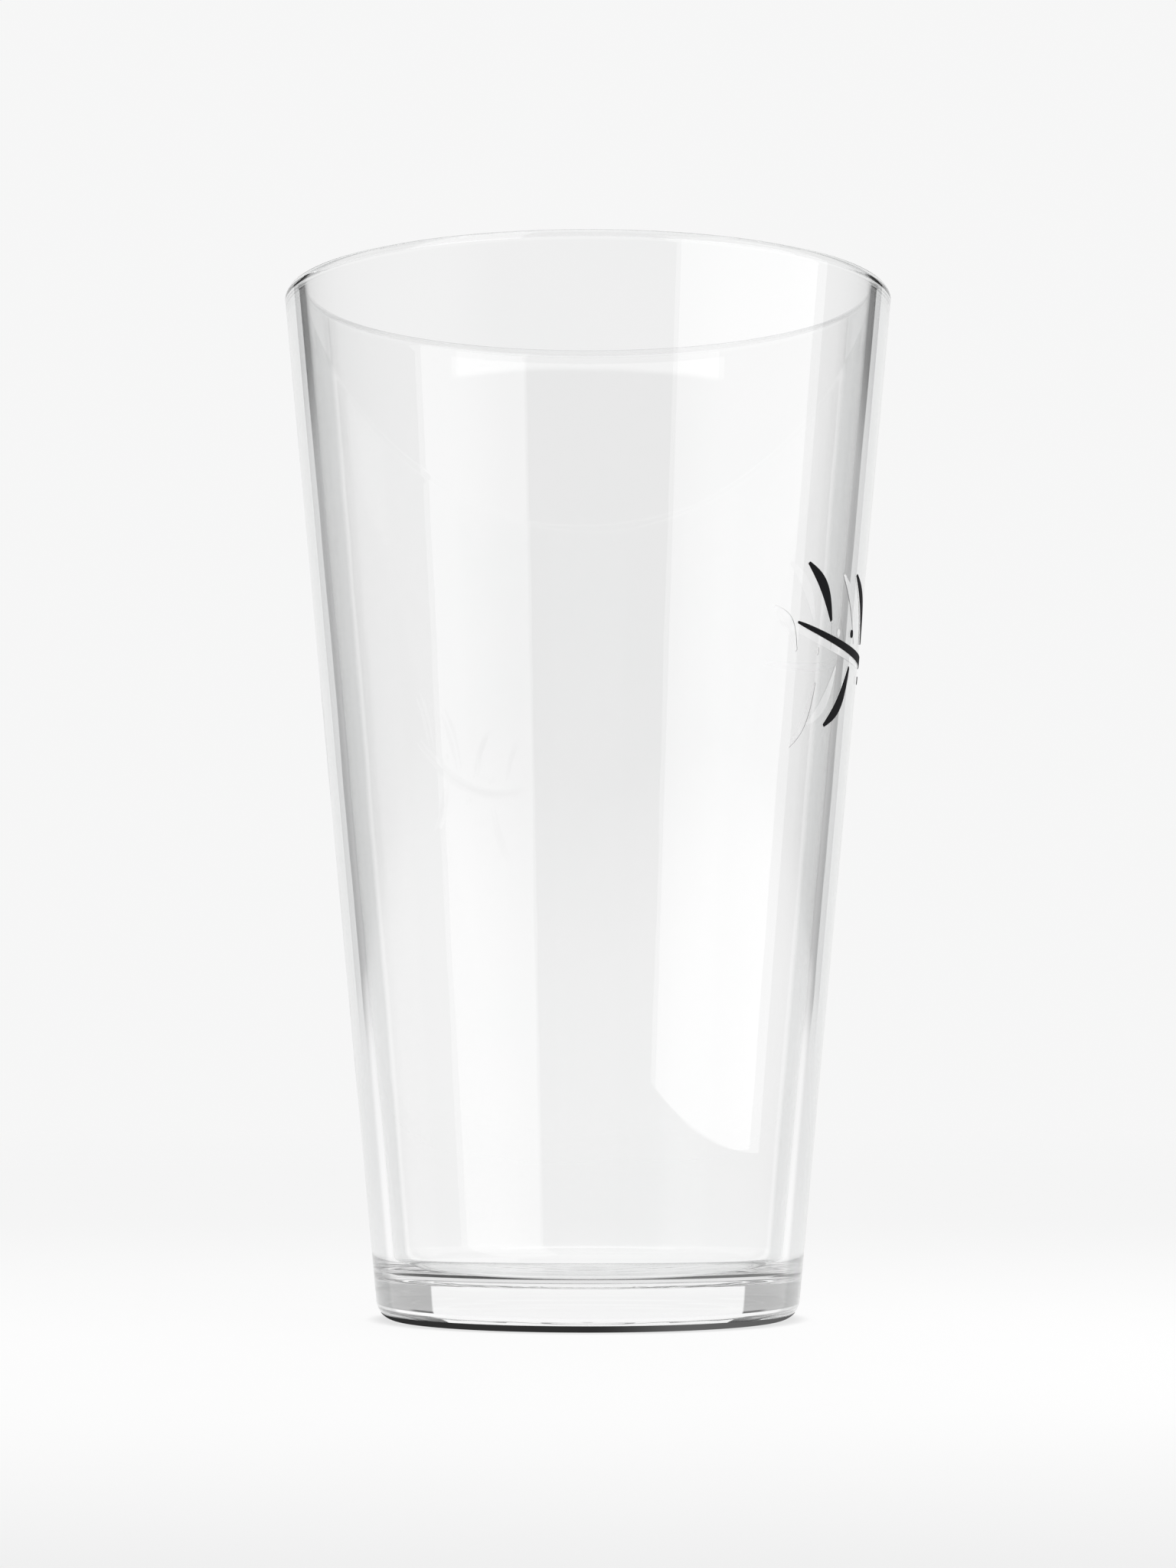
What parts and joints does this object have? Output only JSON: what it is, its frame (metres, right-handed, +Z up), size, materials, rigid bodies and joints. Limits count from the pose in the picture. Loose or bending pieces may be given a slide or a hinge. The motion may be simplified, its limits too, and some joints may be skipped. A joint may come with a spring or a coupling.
{
  "type": "pint glass",
  "caption": "Straight-sided clear glass tumbler that widens from a thick foot to a rounded lip, with a black line print of a level leafy twig on one side.",
  "frame": {"origin": "middle of the foot, on the plane the glass stands on", "axes": "+Z up along the glass's axis, +X towards the middle of the print"},
  "size_m": [0.0886, 0.0886, 0.149],
  "materials": {
    "clear_glass": "polished clear soda-lime glass",
    "black_ink": "satin black ceramic ink, fired on"
  },
  "bodies": {
    "root": {"glass_body": "clear_glass", "print_stem": "black_ink", "print_leaf_1": "black_ink", "print_leaf_2": "black_ink", "print_leaf_3": "black_ink", "print_leaf_4": "black_ink", "print_leaf_5": "black_ink", "print_leaf_6": "black_ink", "print_berry_1": "black_ink", "print_berry_2": "black_ink", "print_berry_3": "black_ink"}
  },
  "joints": []
}
